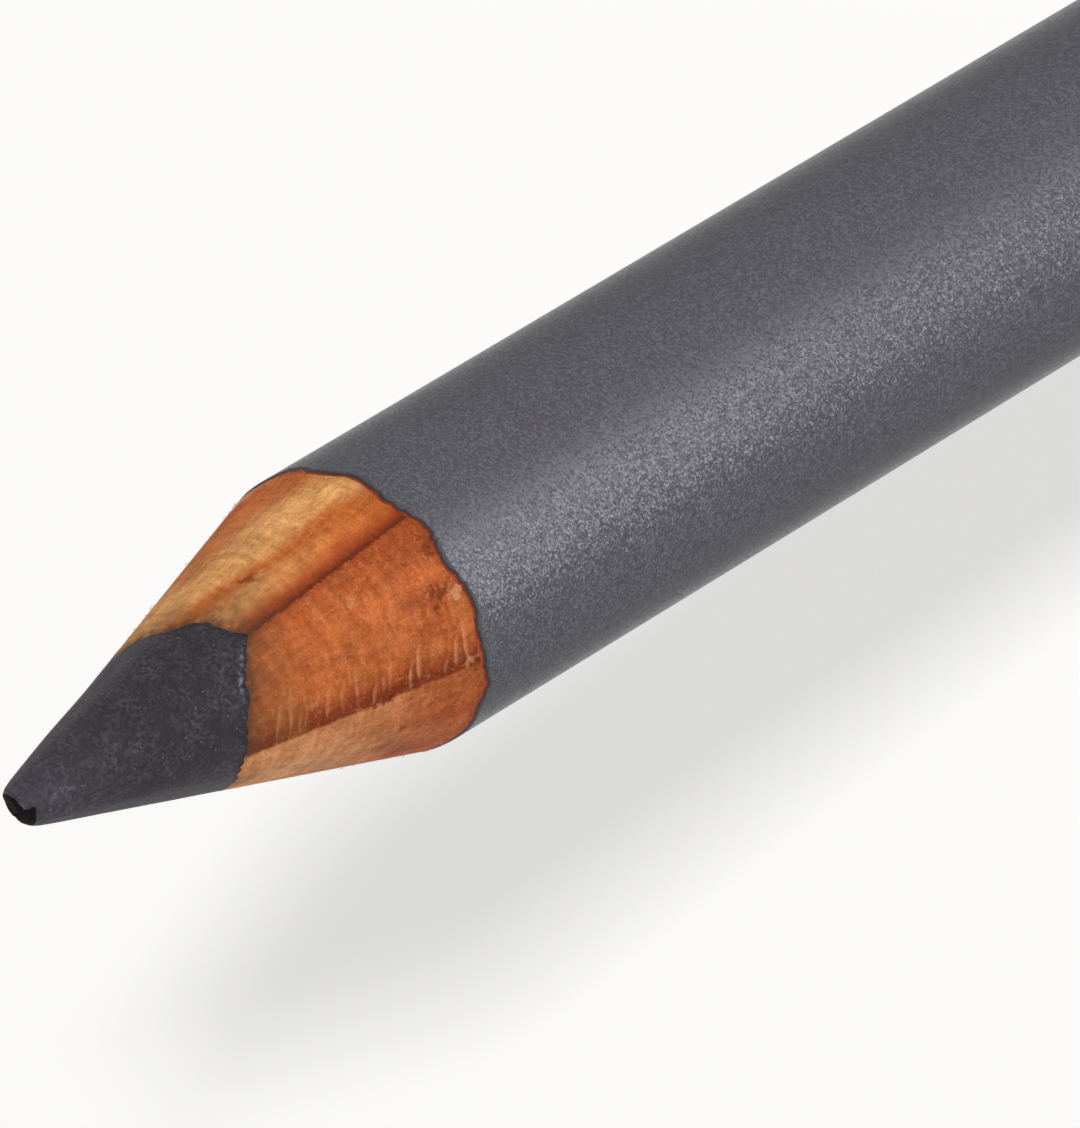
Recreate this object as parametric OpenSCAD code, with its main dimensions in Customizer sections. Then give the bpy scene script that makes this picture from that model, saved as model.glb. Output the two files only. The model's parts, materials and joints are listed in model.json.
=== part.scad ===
// Wood-cased eyeliner pencil, sharpened and used.
// Two grooved cedar slats are glued face to face round a wax core, turned round, lacquered and
// sharpened. The pencil stands on its flat end. The glue joint lies in the YZ plane.

/* [Barrel] */
// Length of the whole pencil, from its flat end to its tip
pencil_length = 130; // [100:1:180]
// Outside diameter of the lacquered barrel
barrel_d = 8; // [7:0.1:10]
// Thickness of the lacquer round the barrel
lacquer_t = 0.06; // [0.03:0.01:0.12]
// Thickness of the lacquer over the dipped flat end
end_t = 0.2; // [0.15:0.05:0.5]
// Radius of the rounded rim at the flat end
end_r = 0.5; // [0.3:0.1:1.5]

/* [Core] */
// Width of the core along the glue joint
core_w = 5; // [3:0.1:6]
// Thickness of the core across the glue joint
core_t = 4.1; // [2:0.1:6]

/* [Sharpened point] */
// Full angle of the sharpened cone
point_angle = 30; // [20:1:40]
// Distance between the cone's axis and the barrel's axis
cut_offset = 0.15; // [0:0.05:0.3]
// Direction in which the cone's axis is offset
cut_turn = -20; // [-180:1:180]
// Depth of the long swells that the sharpener left, at the lacquer's edge
swell_depth = 0.02; // [0:0.005:0.05]
// Number of long swells round the cone
swell_count = 3; // [2:1:5]
// Direction of a crest of the swells
swell_turn = -2; // [-180:1:180]
// Depth of the short ripples that the sharpener left, at the lacquer's edge
ripple_depth = 0.025; // [0:0.005:0.05]
// Number of short ripples round the cone
ripple_count = 11; // [7:1:15]
// Direction of a crest of the ripples
ripple_turn = -16; // [-180:1:180]

/* [Worn tip] */
// Width of the worn face at the tip of the core
tip_d = 1.15; // [0.6:0.05:2]
// Slope of the worn face
tip_slope = 30; // [0:1:40]
// Direction in which the worn face is highest
tip_turn = -104; // [-180:1:180]

/* [Hidden] */
$fn = 96;

// Points round the outline of the cut, enough for each ripple to be a smooth curve
cut_points = 120;
// Room round the barrel for the bodies that only cut it
margin = 1;

barrel_r = barrel_d / 2;
tip_r = tip_d / 2;

// Blank of wood and core before it is lacquered
wood_r = barrel_r - lacquer_t;
wood_end_r = end_r - lacquer_t;

// Groove in each slat: an arc through both edges of the core and through its floor
groove_w = core_w / 2;
groove_depth = core_t / 2;
groove_r = (pow(groove_w, 2) + pow(groove_depth, 2)) / (2 * groove_depth);
groove_x = groove_depth - groove_r;

// The worn face rises from its middle to its high side, which is the end of the pencil
half_angle = point_angle / 2;
tip_rise = tip_r * tan(tip_slope) / (1 + tan(half_angle) * tan(tip_slope));
tip_z = pencil_length - tip_rise;
apex_z = tip_z + tip_r / tan(half_angle);

// The cone is made from where it is wider than the barrel to just above the tip
cone_base_r = barrel_r + cut_offset + margin;
cone_base_z = apex_z - cone_base_r / tan(half_angle);
cone_top_r = tip_r / 4;
cone_top_z = apex_z - cone_top_r / tan(half_angle);
cut_axis = cut_offset * [cos(cut_turn), sin(cut_turn), 0];

// Depth of the cut's waves in a direction, at the lacquer's edge
function cut_wave(turn) =
    swell_depth * cos(swell_count * (turn - swell_turn))
    + ripple_depth * cos(ripple_count * (turn - ripple_turn));

// Outline of the cone where its mean radius is r
function cut_outline(r) = [
    for (i = [0 : cut_points - 1])
        let (turn = 360 * i / cut_points)
        r * (1 + cut_wave(turn) / barrel_r) * [cos(turn), sin(turn)]
];

// Half of space on one side of the glue joint, as far as the barrel reaches
module half_space(side) {
    reach = barrel_r + margin;
    translate([side > 0 ? 0 : -reach, -reach, -margin])
        cube([reach, 2 * reach, pencil_length + 2 * margin]);
}

// Rod along Z with a rounded rim at its lower end
module rod(r, bottom, rim_r) {
    rotate_extrude() {
        translate([0, bottom + rim_r])
            square([r, pencil_length + margin - bottom - rim_r]);
        translate([0, bottom])
            square([r - rim_r, rim_r]);
        translate([r - rim_r, bottom + rim_r])
            circle(rim_r);
    }
}

// Wood and core together, before they are lacquered and sharpened
module blank() {
    rod(wood_r, end_t, wood_end_r);
}

// What fills the groove of one slat
module groove(side) {
    intersection() {
        translate([side * groove_x, 0, -margin])
            cylinder(r = groove_r, h = pencil_length + 2 * margin);
        half_space(side);
    }
}

// Cone that the sharpener leaves, with the worn face at its tip
module sharpened_cone() {
    translate(cut_axis)
        difference() {
            translate([0, 0, cone_base_z])
                linear_extrude(height = cone_top_z - cone_base_z, scale = cone_top_r / cone_base_r)
                    polygon(cut_outline(cone_base_r));
            translate([0, 0, tip_z])
                rotate([0, -tip_slope, tip_turn])
                    translate([-barrel_r, -barrel_r, 0])
                        cube(barrel_d);
        }
}

// Everything that sharpening and use take off the upper end
module shavings() {
    difference() {
        translate([0, 0, cone_base_z])
            cylinder(r = barrel_r + margin, h = pencil_length + 2 * margin - cone_base_z);
        sharpened_cone();
    }
}

module core() {
    color("#3d3b40")
        difference() {
            intersection() {
                blank();
                union() {
                    groove(1);
                    groove(-1);
                }
            }
            shavings();
        }
}

module slat(side) {
    difference() {
        intersection() {
            blank();
            half_space(side);
        }
        groove(side);
        shavings();
    }
}

module slat_left() {
    color("#b5622f")
        slat(-1);
}

module slat_right() {
    color("#c9874f")
        slat(1);
}

module lacquer() {
    color("#6c7079")
        difference() {
            rod(barrel_r, 0, end_r);
            blank();
            shavings();
        }
}

core();
slat_left();
slat_right();
lacquer();
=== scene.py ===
"""Finishes the wood-cased eyeliner pencil: cut cedar, wax core, flaked lacquer, and the studio round it."""

import json
import math
from collections import namedtuple

import bmesh
import bpy
import numpy as np
from bpy.props import FloatProperty, FloatVectorProperty, IntProperty, PointerProperty
from mathutils import Matrix, Vector

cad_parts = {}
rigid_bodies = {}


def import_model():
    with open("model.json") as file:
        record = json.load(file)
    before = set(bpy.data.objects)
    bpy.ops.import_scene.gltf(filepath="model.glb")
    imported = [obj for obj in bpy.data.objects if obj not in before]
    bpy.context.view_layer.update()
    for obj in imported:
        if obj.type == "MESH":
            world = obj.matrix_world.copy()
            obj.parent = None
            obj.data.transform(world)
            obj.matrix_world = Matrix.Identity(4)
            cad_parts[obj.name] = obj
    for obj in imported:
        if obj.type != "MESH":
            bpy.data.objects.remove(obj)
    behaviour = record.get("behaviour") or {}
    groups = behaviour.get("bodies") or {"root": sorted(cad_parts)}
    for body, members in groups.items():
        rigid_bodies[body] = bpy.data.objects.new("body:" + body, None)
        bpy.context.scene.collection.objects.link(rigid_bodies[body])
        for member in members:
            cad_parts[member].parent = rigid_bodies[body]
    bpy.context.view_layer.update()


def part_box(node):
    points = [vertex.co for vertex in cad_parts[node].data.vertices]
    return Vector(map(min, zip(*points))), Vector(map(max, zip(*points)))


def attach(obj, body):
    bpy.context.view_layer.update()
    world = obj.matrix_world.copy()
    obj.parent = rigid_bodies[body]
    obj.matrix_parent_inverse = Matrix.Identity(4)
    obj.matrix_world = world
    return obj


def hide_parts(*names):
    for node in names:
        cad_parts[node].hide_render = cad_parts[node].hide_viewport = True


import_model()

bl_info = {
    "name": "Eyeliner Pencil",
    "version": (1, 0, 0),
    "blender": (4, 5, 0),
    "location": "View3D > Sidebar > Pencil",
    "description": "Builds the visible pieces, materials and studio of a sharpened eyeliner pencil",
    "category": "Object",
}

MM = 0.001

# What the frame says of the pencil, in metres
lacquer_low, lacquer_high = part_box("lacquer")
core_low, core_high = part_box("core")
wood_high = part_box("slat_right")[1]
BARREL_R = lacquer_high.x
FILM_T = lacquer_high.x - wood_high.x
WOOD_R = BARREL_R - FILM_T
END_FILM_T = core_low.z - lacquer_low.z
PENCIL_L = core_high.z

# Each groove is an arc through both edges of the core and through its floor
CORE_W = core_high.y - core_low.y
CORE_T = core_high.x - core_low.x
GROOVE_R = (CORE_W ** 2 + CORE_T ** 2) / (4 * CORE_T)
GROOVE_BACK = GROOVE_R - CORE_T / 2

# Sides of the glue joint
RIGHT = 1
LEFT = -1

# Blanks that wait for the sharpener: their height, and points round them and down the face to be cut
BLANK_TOP = PENCIL_L + MM
CORE_TURNS, CORE_ROWS = 384, 215
SLAT_TURNS, SLAT_ROWS = 300, 175
FILM_TURNS, FILM_ROWS = 960, 7

# Where in the noise the points on the cut start, and the directions round the pencil
CUT_START = 300
ROUND_START = 40

# Loose fibres on each square millimetre of the most torn wood
FIBRES_PER_MM2 = 10


def linear(hex_colour):
    """sRGB hex to linear RGBA."""
    channels = [int(hex_colour[i:i + 2], 16) / 255 for i in (0, 2, 4)]
    return (*[c / 12.92 if c <= 0.04045 else ((c + 0.055) / 1.055) ** 2.4 for c in channels], 1.0)


def length(name, millimetre, what):
    """A length property with its default written in mm."""
    return FloatProperty(name=name, description=what, default=millimetre * MM, unit="LENGTH")


def angle(name, degrees, what):
    """An angle property with its default written in degrees."""
    return FloatProperty(name=name, description=what, default=math.radians(degrees), subtype="ANGLE")


def colour(name, hex_colour, what):
    """A colour property with its default written as sRGB hex."""
    return FloatVectorProperty(
        name=name, description=what, subtype="COLOR", size=4, min=0, max=1,
        default=linear(hex_colour))


class PencilSizes(bpy.types.PropertyGroup):
    """Sizes of the pencil's form and of the marks that sharpening left."""

    point_angle: angle("Point angle", 30, "Full angle of the sharpened cone")
    cut_offset: length("Cut offset", 0.15, "Distance between the cone's axis and the barrel's")
    cut_turn: angle("Cut turn", -20, "Direction of the cone's offset")
    swell_depth: length("Swell depth", 0.02, "Depth of the long swells in the cut, at the lacquer")
    swell_count: IntProperty(name="Swells", description="Number of long swells round the cone", default=3)
    swell_turn: angle("Swell turn", -2, "Direction of a crest of the swells")
    ripple_depth: length("Ripple depth", 0.025, "Depth of the short ripples in the cut, at the lacquer")
    ripple_count: IntProperty(
        name="Ripples", description="Number of short ripples round the cone", default=11)
    ripple_turn: angle("Ripple turn", -16, "Direction of a crest of the ripples")
    end_rim: length("End rim", 0.5, "Radius of the rounded rim at the flat end")
    tip_width: length("Tip width", 1.15, "Width of the worn face at the tip")
    tip_slope: angle("Tip slope", 30, "Slope of the worn face")
    tip_turn: angle("Tip turn", -104, "Direction in which the worn face is highest")
    tip_rounding: length("Tip rounding", 0.9, "How far the worn face's edge is rounded, along the pencil")
    tip_lift: length("Tip lift", 0.3, "Height of the worn face above the plain solid's")
    notch_slope: angle("Notch slope", 18, "Slope of the notch broken out of the worn face's high side")
    notch_turn: angle("Notch turn", 159, "Direction from the tip's middle to its notched half")
    ring_turn: angle("Ring turn", -50.8, "Direction across the growth rings of the left slat")
    ring_offset: length(
        "Ring place", -0.79, "Distance of the left slat's sharp ring line from the barrel's axis")
    ring_step: length("Ring step", 0.05, "Height that the pale ring stands above the dark one")
    joint_groove: length("Joint groove", 0.07, "Depth of the groove along the glue joint")
    mark_pitch: length("Mark pitch", 0.41, "Distance between the blade's chatter marks")
    mark_height: length("Mark height", 0.035, "Height of the torn edges at the chatter marks")
    grain_depth: length("Grain depth", 0.03, "Depth of the open grain in the cut wood")
    wax_depth: length("Wax grain", 0.02, "Depth of the grains in the cut wax")
    scallop: length("Core scallops", 0.024, "How far the edge of the core wanders in the wood")
    chip: length("Lacquer chips", 0.06, "How far the lacquer broke away at the cut, along the pencil")
    fibre_length: length("Fibre length", 0.13, "Length of a raised wood fibre")
    fibre_width: length("Fibre width", 0.012, "Width of a raised wood fibre")


class PencilColours(bpy.types.PropertyGroup):
    """Colours of the pencil's finishes."""

    lacquer: colour("Lacquer", "504e54", "Lacquer of the barrel between its flakes")
    flake: colour("Flake", "72737d", "Aluminium flakes in the lacquer")
    film: colour("Film edge", "302b2e", "Lacquer film where it is cut")
    film_skin: colour("Film skin", "4f4d53", "Outer skin of the cut lacquer film")
    wax: colour("Wax", "241f24", "Wax core")
    wax_light: colour("Wax grains", "56535d", "Lighter grains in the wax")
    # Also painted as highlights along the core's lit edge and on one spot
    glint: colour("Wax glints", "8f93a5", "Pearl specks in the wax")
    # Painted shade: the near-black of the worn face and of the core's rim
    worn: colour("Worn tip", "0c0908", "Worn face of the core")
    # Painted highlights on the ends of cut fibres
    curl: colour("Curled fibre", "e39a60", "Ends of cut fibres that catch the light")
    tan: colour("Tan ring", "dfa162", "Pale spring wood of the right slat")
    orange: colour("Orange ring", "c5692c", "Summer wood of the right slat")
    red: colour("Red ring", "b95320", "Late wood of the right slat")
    deep: colour("Deep cedar", "b05d2e", "Heartwood of the left slat")
    heart: colour("Bright cedar", "bc6233", "Brighter heartwood beside the joint")
    # Also painted as shade beside the glue joint
    dark: colour("Dark ring", "742a0f", "Late wood of the left slat")
    pale: colour("Pale ring", "d08e5e", "Spring wood below the left slat's ring line")
    # Also painted as shade beside the glue joint
    stain: colour("Red heartwood", "9e4820", "Redder blots in the wood")
    brown: colour("Brown wood", "94602f", "Browner blots in the wood")
    # Also painted as shade in pits and dips, and beside the joint
    joint: colour("Joint", "5a2210", "Glue joint between the slats")
    smear: colour("Pigment smear", "523828", "Wax pigment dragged over the wood")
    fibre: colour("Fibre", "dfa476", "Torn fibres, and the palest wood below the ring line")
    floor: colour("Floor", "ffffff", "Studio floor")


# Small tools


def add_node(tree, kind, settings=None, inputs=None):
    """Adds a node with its settings, and sets its inputs or links them to a socket or to a node's first."""
    node = tree.nodes.new(kind)
    for name, value in (settings or {}).items():
        setattr(node, name, value)
    for name, value in (inputs or {}).items():
        if isinstance(value, bpy.types.Node):
            tree.links.new(value.outputs[0], node.inputs[name])
        elif isinstance(value, bpy.types.NodeSocket):
            tree.links.new(value, node.inputs[name])
        else:
            node.inputs[name].default_value = value
    return node


def noise_at(points, seed):
    """Smooth noise from -1 to 1 at each point, which changes once in each unit."""
    size = 32
    lattice = np.random.default_rng(seed).uniform(-1, 1, (size, size, size))
    cell = np.floor(points).astype(int)
    part = points - cell
    part = part * part * (3 - 2 * part)
    total = 0
    for corner in np.ndindex(2, 2, 2):
        near = np.array(corner)
        weight = np.prod(np.where(near, part, 1 - part), axis=-1)
        index = (cell + near) % size
        total = total + weight * lattice[index[..., 0], index[..., 1], index[..., 2]]
    return total


def noise_round(turn, waves, seed):
    """Noise in each direction round the pencil; waves is how often it changes in a radian."""
    around = np.stack([np.cos(turn), np.sin(turn), np.zeros_like(turn)], -1)
    return noise_at(around * waves + ROUND_START, seed)


def smooth_step(value, start, end):
    """0 before start, 1 after end, and a smooth change between them."""
    part = np.clip((value - start) / (end - start), 0, 1)
    return part * part * (3 - 2 * part)


def smooth_min(first, second, reach):
    """Lower of two heights, rounded where they come within reach of each other, as the Math node does it."""
    near = np.maximum(reach - np.abs(first - second), 0) / reach
    return np.minimum(first, second) - near ** 3 * reach / 6


def bell(value, middle, spread):
    """1 at the middle, and less on both sides of it."""
    return np.exp(-((value - middle) / spread) ** 2)


def fade(distance, reach):
    """1 up to a distance of 0, and less beyond it."""
    return np.exp(-np.maximum(distance, 0) / reach)


def heading(turn):
    """Level direction of a turn about the pencil's axis."""
    return Vector((math.cos(turn), math.sin(turn), 0))


# Form of the sharpened pencil


class Cut:
    """The sharpened cone and the worn face, worked out from the sizes."""

    def __init__(self, sizes):
        self.sizes = sizes
        self.half = sizes.point_angle / 2
        tip_r = sizes.tip_width / 2
        slope = math.tan(sizes.tip_slope)
        self.tip_z = PENCIL_L - tip_r * slope / (1 + math.tan(self.half) * slope)
        self.apex_z = self.tip_z + tip_r / math.tan(self.half)
        self.worn_z = self.tip_z + sizes.tip_lift
        self.axis = heading(sizes.cut_turn) * sizes.cut_offset
        self.grade = heading(sizes.tip_turn) * slope

    def depth(self, x, y):
        """Distance of the cone's surface below its apex, at a point seen from above."""
        s = self.sizes
        east, north = x - self.axis.x, y - self.axis.y
        turn = np.arctan2(north, east)
        wave = (s.swell_depth * np.cos(s.swell_count * (turn - s.swell_turn))
                + s.ripple_depth * np.cos(s.ripple_count * (turn - s.ripple_turn)))
        return np.hypot(east, north) / (math.tan(self.half) * (1 + wave / BARREL_R))

    def wander(self, at):
        """Height by which the cut stands above its even form, where the sharpener wandered."""
        return at.depth * swells_at(at.turn, CUT_SWELLS) / BARREL_R

    def worn_height(self, at):
        """Height of the worn face's plane."""
        return self.worn_z + self.grade.x * (at.x - self.axis.x) + self.grade.y * (at.y - self.axis.y)


class Surface:
    """Where each vertex of a blank lies in metres, and its point on the plain cut in mm."""

    def __init__(self, mesh, cut):
        flat = np.zeros(len(mesh.vertices) * 3)
        mesh.vertices.foreach_get("co", flat)
        self.x, self.y, self.z = flat.reshape(-1, 3).T
        self.turn = np.arctan2(self.y, self.x)
        self.radius = np.hypot(self.x, self.y)
        self.depth = cut.depth(self.x, self.y)
        self.points = np.stack([self.x, self.y, PENCIL_L - self.depth], -1) / MM

    def noise(self, waves, seed):
        """Noise over the cut, which changes so many times in a mm along each axis."""
        return noise_at(self.points * waves + CUT_START, seed)

    def towards(self, turn):
        """Distance from the barrel's axis in one direction."""
        return self.x * math.cos(turn) + self.y * math.sin(turn)


# Where the grooves and the cut wandered from their even forms: direction, spread, and how far out in mm
GROOVE_SWELLS = ((-64, 19, 0.115), (-28, 18, 0.09), (-105, 14, -0.03), (-131, 12, -0.035))
CUT_SWELLS = ((-100, 20, -0.025), (-68, 14, -0.045), (-36, 17, -0.085), (-160, 12, 0.03))


def swells_at(turn, swells):
    """How far the form wandered outward in each direction."""
    total = 0
    for middle, spread, reach in swells:
        lag = np.mod(np.degrees(turn) - middle + 180, 360) - 180
        total = total + reach * MM * bell(lag, 0, spread)
    return total


def core_edge(turn, sizes):
    """Radius of the core's wavering edge in each direction: two arcs that meet at the joint."""
    lens = np.sqrt(GROOVE_R ** 2 - (GROOVE_BACK * np.sin(turn)) ** 2) - GROOVE_BACK * np.abs(np.cos(turn))
    drift = noise_round(turn, 6.5, 3)
    scallops = np.abs(np.sin(17 * turn + 2 * drift)) - 0.6
    waver = 0.5 * drift + 0.7 * scallops * (1 + 0.5 * noise_round(turn, 15, 4))
    away_from_joint = np.minimum(1, np.abs(np.cos(turn)) * 8)
    return lens + swells_at(turn, GROOVE_SWELLS) + sizes.scallop * waver * away_from_joint


def rim_profile(radius, low, rim_r, steps=6):
    """Points of a rounded lower rim, from the flat end up to the wall."""
    bend = np.linspace(0, math.pi / 2, steps)
    return radius - rim_r + rim_r * np.sin(bend), low + rim_r - rim_r * np.cos(bend)


def solid_of_profiles(name, turns, radii, heights, corners, closed):
    """Closed solid from one profile in each direction; corners are the profile points with a sharp edge."""
    count, points = radii.shape
    x = radii * np.cos(turns)[:, None]
    y = radii * np.sin(turns)[:, None]
    verts = np.stack([x, y, heights], -1).reshape(-1, 3)
    ring = np.arange(count)
    pairs = zip(ring, np.roll(ring, -1)) if closed else zip(ring[:-1], ring[1:])
    whole = not np.allclose(radii[:, 0], 0)
    steps = list(range(points - 1)) + ([points - 1] if whole else [])
    quads = [(a * points + j, b * points + j, b * points + (j + 1) % points, a * points + (j + 1) % points)
             for a, b in pairs for j in steps]
    ends = [] if closed else [tuple(range(points)), tuple(range((count - 1) * points, count * points))]
    mesh = bpy.data.meshes.new(name)
    mesh.from_pydata(verts.tolist(), [], quads + ends)
    place = mesh.attributes.new("profile_point", "INT", "POINT")
    place.data.foreach_set("value", np.tile(np.arange(points), count).astype(np.int32))

    solid = bmesh.new()
    solid.from_mesh(mesh)
    layer = solid.verts.layers.int["profile_point"]
    bmesh.ops.remove_doubles(solid, verts=solid.verts, dist=1e-7)
    bmesh.ops.dissolve_degenerate(solid, edges=solid.edges, dist=1e-7)
    bmesh.ops.recalc_face_normals(solid, faces=solid.faces)
    for face in solid.faces:
        face.smooth = len(face.verts) < 5
    for edge in solid.edges:
        first, second = (vert[layer] for vert in edge.verts)
        on_end = any(len(face.verts) > 4 for face in edge.link_faces)
        edge.smooth = not (on_end or (first == second and first in corners))
    solid.to_mesh(mesh)
    solid.free()
    return mesh


def set_value(mesh, name, values, domain="POINT"):
    """Stores one number at each vertex or face."""
    data = mesh.attributes.new(name, "FLOAT", domain)
    data.data.foreach_set("value", np.ascontiguousarray(values, np.float32))


def set_flags(mesh, chosen):
    """Marks the faces whose corners are all chosen, which get the second material."""
    flags = [all(chosen[v] for v in face.vertices) for face in mesh.polygons]
    mesh.attributes.new("cut_face", "BOOLEAN", "FACE").data.foreach_set("value", flags)


# What the blade and the wood left on the cut

# A spot's direction round the cone in degrees, its depth below the apex and two sizes in mm, and its tone
Spot = namedtuple("Spot", "turn depth width length tone")

# Nicks in the wood: torn pale where the tone is above 0, and dark pits, darkened with painted shade, where
# it is below
NICKS = (
    Spot(-156.6, 12.33, 0.09, 0.26, -1.5),
    Spot(-158.0, 12.62, 0.07, 0.20, 0.7),
    Spot(-152.4, 15.12, 0.20, 0.13, -1.1),
    Spot(-151.0, 14.80, 0.10, 0.22, 0.7),
    Spot(-121.6, 14.25, 0.26, 0.34, -1.1),
    Spot(-123.4, 14.62, 0.20, 0.26, 1.3),
    Spot(-120.6, 14.88, 0.13, 0.18, 0.9),
    Spot(-104.5, 14.50, 0.16, 0.12, -0.8),
    Spot(-105.3, 13.70, 0.05, 0.13, -0.6),
    Spot(-105.9, 11.96, 0.15, 0.17, 0.5),
    Spot(-144.2, 10.18, 0.08, 0.26, 0.45),
    Spot(-65.0, 10.47, 0.12, 0.22, -0.9),
    Spot(-66.8, 10.75, 0.07, 0.16, 0.6),
    Spot(-177.0, 13.03, 0.09, 0.13, -0.8),
)

# Redder heartwood where the tone is above 0, and browner wood where it is below
STAINS = (
    Spot(-125.9, 13.9, 0.70, 0.9, 0.8),
    Spot(-97.0, 13.4, 0.55, 1.6, 0.4),
    Spot(-170.0, 14.1, 1.10, 1.6, 0.5),
    Spot(-194.7, 14.2, 0.70, 1.6, 0.6),
    Spot(-112.0, 9.4, 1.20, 0.9, -0.5),
    Spot(-142.0, 9.4, 1.10, 1.2, -0.7),
)

# A spot of painted highlight on the wax beside the notch
PAINTED_GLINT_SPOT = Spot(-118, 2.9, 0.24, 0.7, 0.32)

# Blade strokes that start on the ring line, and those above it: spans of start, length and strength
ON_LINE = ((-0.05, 0.15), (0.6, 1.35), (0.3, 0.8))
OFF_LINE = ((0.3, 1.8), (0.4, 1.1), (0.15, 0.4))


def tone_of(spots, at, ragged, wander):
    """Tone of the spots at each point; their edges wander with the ragged noise."""
    total = 0
    for spot in spots:
        lag = at.turn - math.radians(spot.turn)
        lag = np.arctan2(np.sin(lag), np.cos(lag))
        reach = np.hypot(lag * at.radius / spot.width, (at.depth - spot.depth * MM) / spot.length) / MM
        total = total + spot.tone * (1 - smooth_step(reach + wander * ragged, 0.35, 1.25))
    return total


def chatter_marks(at, above, sizes):
    """Torn strokes that the blade left above the ring line: a pale lip, and the dip beside it darkened with
    painted shade.
    """
    rng = np.random.default_rng(7)
    strength = np.zeros(len(above))
    first, last = 8.7 * MM, 15.2 * MM
    for place in np.arange(first, last, sizes.mark_pitch / 2):
        place += rng.uniform(-0.08, 0.08) * MM
        spans = ON_LINE if rng.random() < 0.6 else OFF_LINE
        start, reach, bold = (rng.uniform(*span) for span in spans)
        bold *= 0.8 + 0.4 * smooth_step(place, 10 * MM, 14 * MM)
        lean = rng.uniform(-0.05, 0.08) * MM
        middle = (above - start - reach / 2) / (reach / 2)
        bow = place + 0.1 * MM * middle ** 2 + lean * middle
        along = np.clip(1 - middle ** 2, 0, None) ** 0.6
        lip = bell(at.depth, bow, 0.055 * MM)
        dip = bell(at.depth, bow - 0.12 * MM, 0.06 * MM)
        strength += bold * along * (lip - 0.7 * dip)
    return strength * np.clip(0.85 + 0.4 * at.noise(6, 20), 0, 1.2)


def smear_share(at, sizes):
    """Share of wax pigment dragged over the wood: a ragged fringe round the core, widest at one corner."""
    from_core = (at.radius - core_edge(at.turn, sizes)) / MM
    reach = 0.2 + 0.15 * bell(at.turn, math.radians(-72), 0.26)
    ragged = at.noise(6, 17) + 0.6 * at.noise((13, 13, 4), 18)
    return np.clip(0.78 * fade(from_core, reach) * (1 + 0.3 * ragged), 0, 1)


def mark_wood(mesh, cut, side):
    """Stores the height of the wood above the plain cut, and the marks that its finish shows."""
    s = cut.sizes
    at = Surface(mesh, cut)
    above = (at.towards(s.ring_turn) - s.ring_offset) / MM + 0.035 * at.noise(3, 14)
    below = (1 - smooth_step(above, -0.02, 0.04)) * (side == LEFT)

    # Open grain and fuzz, and the groove along the joint, whose right side slopes down to it
    grain = at.noise((16, 16, 2.2), 11) + 0.6 * at.noise((30, 30, 5), 12)
    relief = s.grain_depth * (0.35 * grain + 0.25 * at.noise(18, 13))
    relief -= s.joint_groove * fade(np.abs(at.x), 0.07 * MM)
    relief -= s.joint_groove * 0.6 * bell(at.x, 0, 0.3 * MM) * (side == RIGHT)

    # The step along the left slat's ring line, with chatter marks above it and pits below, whose darkness is
    # painted shade
    mark = 0
    if side == LEFT:
        relief += s.ring_step * below * fade(-above, 0.8)
        relief -= s.ring_step * 0.6 * (1 - below) * fade(above, 0.35)
        pits = np.maximum(at.noise(12, 26) - 0.3, 0)
        mark = chatter_marks(at, above, s) - 1.2 * pits * below * smooth_step(at.depth, 12 * MM, 14 * MM)

    mark = mark + tone_of(NICKS, at, at.noise(7, 15) + 1.2 * at.noise(14, 19), 0.9)
    set_value(mesh, "relief", relief + s.mark_height * mark + cut.wander(at))
    set_value(mesh, "mark", mark)
    set_value(mesh, "stain", tone_of(STAINS, at, at.noise((2.2, 2.2, 1.1), 16), 0.5))
    set_value(mesh, "above_ring", above)
    set_value(mesh, "smear", smear_share(at, s) * (1 - 0.7 * below))


def mark_wax(mesh, cut):
    """Stores the wax's height above the plain cut, painted highlights along its lit edge and on one spot,
    painted shade along its rim, and the worn face.
    """
    s = cut.sizes
    at = Surface(mesh, cut)
    grain = at.noise(9, 21) + 0.6 * at.noise(19, 22)
    rough = at.noise(5, 24) + 0.5 * at.noise(11, 25)
    near_tip = smooth_step(at.depth, 4 * MM, 2 * MM)
    relief = s.wax_depth * (0.3 * grain + 0.8 * at.noise((1.4, 1.4, 0.9), 23) + 0.8 * rough * near_tip)

    # The high side of the worn face broke away in one half, and the cone is fuller beside it
    cone, worn = cut.apex_z - at.depth, cut.worn_height(at)
    ahead = at.towards(s.tip_turn) + s.tip_width / 2
    notched = smooth_step(at.towards(s.notch_turn) / MM + 0.06 * rough, -0.1, 0.0) * np.maximum(ahead, 0)
    broken = worn - math.tan(s.notch_slope) * notched
    swollen = bell(at.turn, math.radians(-25), 0.6) * smooth_step(at.depth, 6.5 * MM, 4 * MM)
    lifted = cone + 0.28 * MM * swollen
    relief += smooth_min(lifted, broken, s.tip_rounding) - smooth_min(cone, worn, s.tip_rounding)

    # Painted highlights: glints along the edge on the lit side, and on one spot beside the notch
    inside = (core_edge(at.turn, s) - at.radius) / MM
    lit_side = bell(at.turn, math.radians(-108), 0.3)
    painted_glint = 0.7 * lit_side * fade(np.abs(inside - 0.04), 0.022) + tone_of([PAINTED_GLINT_SPOT], at, grain, 0.3)
    set_value(mesh, "relief", relief + cut.wander(at))
    set_value(mesh, "painted_glint", painted_glint * (1 + grain))
    # Painted shade along the core's rim, where it meets the wood
    set_value(mesh, "rim", fade(inside, 0.014))
    set_flags(mesh, (at.z > PENCIL_L) & (cone - broken > 0.03 * MM * rough))


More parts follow.
